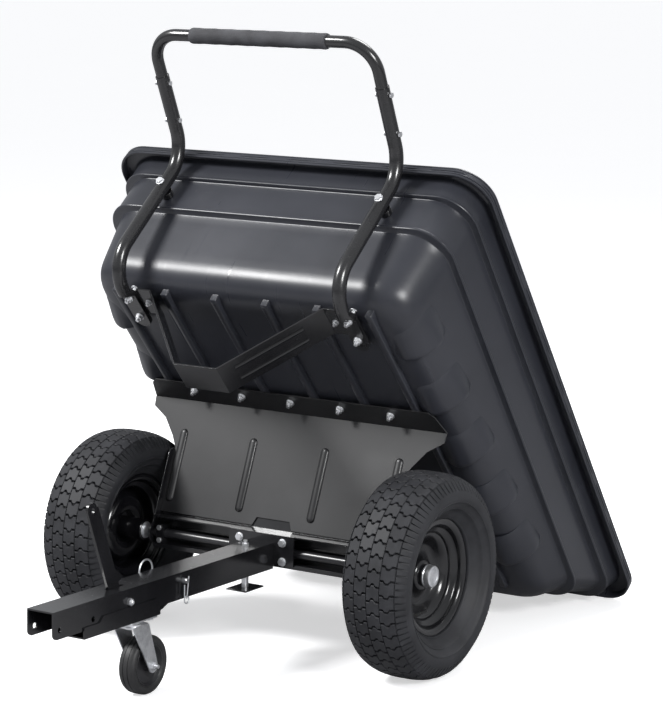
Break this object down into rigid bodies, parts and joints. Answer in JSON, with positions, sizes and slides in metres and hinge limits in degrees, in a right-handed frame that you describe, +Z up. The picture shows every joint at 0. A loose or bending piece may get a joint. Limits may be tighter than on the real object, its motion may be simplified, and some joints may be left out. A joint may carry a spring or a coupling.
{
  "type": "garden cart",
  "caption": "Towable tipping garden cart with a moulded plastic tub, turf tyres, swivel castor, latch lever and looped push handle, shown tipped out.",
  "frame": {"origin": "centre of the front cross hole of the tow bar", "axes": "+Y back along the tow bar to the tub, +Z up, +X to the cart's right as seen from behind the tow bar looking at the tub"},
  "size_m": [0.888, 1.5272, 1.2449],
  "materials": {
    "black_paint": "satin black powder coat",
    "gloss_paint": "gloss black paint",
    "zinc": "bright zinc plate",
    "tub_plastic": "semi-matt moulded polyethylene, dark charcoal",
    "core_plastic": "moulded black plastic",
    "tyre": "black turf tyre rubber",
    "black_rubber": "smooth black rubber",
    "foam": "fine-grained black foam"
  },
  "bodies": {
    "chassis": {"drawbar": "black_paint", "axle_beam": "black_paint", "axle_shaft": "zinc", "coupling_plate": "black_paint", "coupling_bolts": "zinc", "shaft_clamps": "black_paint", "clamp_bolts": "zinc", "castor_bracket": "black_paint", "lever_bolt": "zinc", "lever_spacers": "zinc", "stow_pin": "zinc", "stow_clip": "zinc", "foot_plate": "black_paint", "foot_bolt": "zinc", "axle_spacers": "zinc", "axle_nuts": "zinc", "castor_plate": "zinc", "castor_bolts": "zinc", "castor_race": "zinc"},
    "tub": {"tilt_plate": "gloss_paint", "pivot_cheek_left": "black_paint", "pivot_cheek_right": "black_paint", "plate_bolts": "zinc", "tub_shell": "tub_plastic", "saddle": "black_paint", "saddle_bolts": "zinc", "handle_left": "black_paint", "handle_right": "black_paint", "handle_standoffs": "black_paint", "handle_bolts": "zinc", "handle_bow": "black_paint", "grip": "foam", "bow_pins": "zinc"},
    "wheel_left": {"rim_left": "gloss_paint", "tyre_left": "tyre", "bearings_left": "zinc", "hub_cap_left": "zinc", "valve_left": "black_rubber"},
    "wheel_right": {"rim_right": "gloss_paint", "tyre_right": "tyre", "bearings_right": "zinc", "hub_cap_right": "zinc", "valve_right": "black_rubber"},
    "latch": {"latch_lever": "black_paint"},
    "castor_swivel": {"castor_fork": "zinc", "castor_axle": "zinc"},
    "castor_wheel": {"castor_core": "core_plastic", "castor_tyre": "black_rubber"}
  },
  "joints": [
    {"name": "tub_tip", "type": "hinge", "parent": "chassis", "child": "tub", "pos_m": [0, 0.706, 0.0142], "axis": [1, 0, 0], "range_deg": [0, 55]},
    {"name": "wheel_left_spin", "type": "hinge", "parent": "chassis", "child": "wheel_left", "pos_m": [-0.362, 0.706, 0.0142], "axis": [1, 0, 0], "continuous": true},
    {"name": "wheel_right_spin", "type": "hinge", "parent": "chassis", "child": "wheel_right", "pos_m": [0.362, 0.706, 0.0142], "axis": [1, 0, 0], "continuous": true},
    {"name": "latch_swing", "type": "hinge", "parent": "chassis", "child": "latch", "pos_m": [0, 0.206, 0.011], "axis": [-1, 0, 0], "range_deg": [0, 22]},
    {"name": "castor_turn", "type": "hinge", "parent": "chassis", "child": "castor_swivel", "pos_m": [0, 0.251, -0.0485], "axis": [0, 0, 1], "continuous": true},
    {"name": "castor_spin", "type": "hinge", "parent": "castor_swivel", "child": "castor_wheel", "pos_m": [0, 0.291, -0.1315], "axis": [1, 0, 0], "continuous": true}
  ]
}
